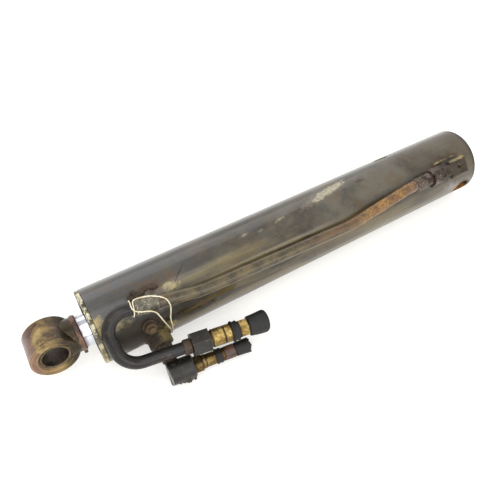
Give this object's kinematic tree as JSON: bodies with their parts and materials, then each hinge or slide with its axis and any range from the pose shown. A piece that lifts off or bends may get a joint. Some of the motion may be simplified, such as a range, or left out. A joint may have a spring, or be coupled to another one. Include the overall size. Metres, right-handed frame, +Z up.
{
  "type": "telescopic hydraulic cylinder",
  "caption": "Double-acting telescopic hydraulic cylinder with pin bores at both ends, a rigid return pipe and capped quick couplers.",
  "frame": {"origin": "centre of the base pin bore, on the barrel's axis", "axes": "+X along the barrel towards the rod eye, the way the stages extend; +Z up as the part lies on the floor; the couplers are on the +Y side"},
  "size_m": [0.6779, 0.1593, 0.1086],
  "materials": {
    "barrel_paint": "worn gloss paint, dark grey-olive",
    "gland_paint": "chipped yellow-cream paint",
    "worn_bush": "oily and rusted bore",
    "bare_steel": "machined",
    "hard_chrome": "polished hard chrome",
    "seal_rubber": "matt",
    "guide_plastic": "bronze-filled guide strip",
    "eye_forging": "oily brown rust",
    "port_steel": "dark paint, worn edges",
    "fitting_steel": "blackened, greasy",
    "rusty_steel": "rusted",
    "pipe_rust": "dark paint with orange rust",
    "pipe_black": "satin black",
    "sleeve_zinc": "grey-beige, dusty",
    "nut_black": "blackened steel",
    "fitting_brass": "tarnished",
    "cap_rubber": "matt, scuffed",
    "lock_plastic": "brown",
    "string_cotton": "twisted cotton"
  },
  "bodies": {
    "barrel": {"barrel_tube": "barrel_paint", "base_plug": "barrel_paint", "base_bush": "worn_bush", "gland": "gland_paint", "gland_wiper": "seal_rubber", "gland_seal": "seal_rubber", "gland_wear_rings": "guide_plastic", "gland_oring": "seal_rubber", "cap_port_block": "port_steel", "cap_port_plug": "fitting_steel", "cap_adaptor": "rusty_steel", "cap_pipe_nut": "fitting_steel", "cap_ferrule": "fitting_steel", "long_pipe": "pipe_rust", "loop_pipe": "pipe_black", "pipe_sleeve": "sleeve_zinc", "pipe_tab": "rusty_steel", "rod_port_boss": "port_steel", "rod_adaptor": "port_steel", "elbow_block": "nut_black", "bleed_plug": "rusty_steel", "loop_ferrule": "rusty_steel", "loop_nut": "nut_black", "coupler_body_1": "fitting_brass", "coupler_body_2": "fitting_brass", "coupler_band_1": "cap_rubber", "coupler_band_2": "cap_rubber", "lock_ring": "lock_plastic", "tie_string": "string_cotton", "string_knot": "string_cotton"},
    "stage": {"stage_tube": "hard_chrome", "stage_piston": "bare_steel", "stage_nut": "bare_steel", "stage_piston_seal": "seal_rubber", "stage_wear_rings": "guide_plastic", "stage_gland": "bare_steel", "stage_wiper": "seal_rubber", "stage_rod_seal": "seal_rubber", "stage_guide_ring": "guide_plastic"},
    "rod_rings": {"rod_piston_seal": "seal_rubber", "rod_wear_rings": "guide_plastic"},
    "rod": {"rod": "hard_chrome", "rod_piston": "bare_steel", "rod_nut": "bare_steel", "rod_collar": "eye_forging", "rod_eye": "eye_forging", "eye_bush": "worn_bush"},
    "poppet_1": {"poppet_1": "bare_steel"},
    "poppet_2": {"poppet_2": "bare_steel"},
    "dust_cap_1": {"dust_cap_1": "cap_rubber"},
    "dust_cap_2": {"dust_cap_2": "cap_rubber"}
  },
  "joints": [
    {"name": "stage_slide", "type": "slide", "parent": "barrel", "child": "stage", "axis": [1, 0, 0], "range_m": [0, 0.415]},
    {"name": "rod_slide", "type": "slide", "parent": "stage", "child": "rod_rings", "axis": [1, 0, 0], "range_m": [0, 0.44]},
    {"name": "rod_turn", "type": "hinge", "parent": "rod_rings", "child": "rod", "pos_m": [0.3, 0, 0], "axis": [1, 0, 0], "continuous": true},
    {"name": "poppet_1_push", "type": "slide", "parent": "barrel", "child": "poppet_1", "axis": [-0.9885, 0.1443, -0.0445], "range_m": [-0.004, 0], "stiffness_N_per_m": 2000, "springref_m": 0.001},
    {"name": "poppet_2_push", "type": "slide", "parent": "barrel", "child": "poppet_2", "axis": [-0.99, 0.141, 0], "range_m": [-0.004, 0], "stiffness_N_per_m": 2000, "springref_m": 0.001},
    {"name": "dust_cap_1_pull", "type": "slide", "parent": "barrel", "child": "dust_cap_1", "axis": [-0.9885, 0.1443, -0.0445], "range_m": [0, 0.03]},
    {"name": "dust_cap_2_pull", "type": "slide", "parent": "barrel", "child": "dust_cap_2", "axis": [-0.99, 0.141, 0], "range_m": [0, 0.03]}
  ]
}
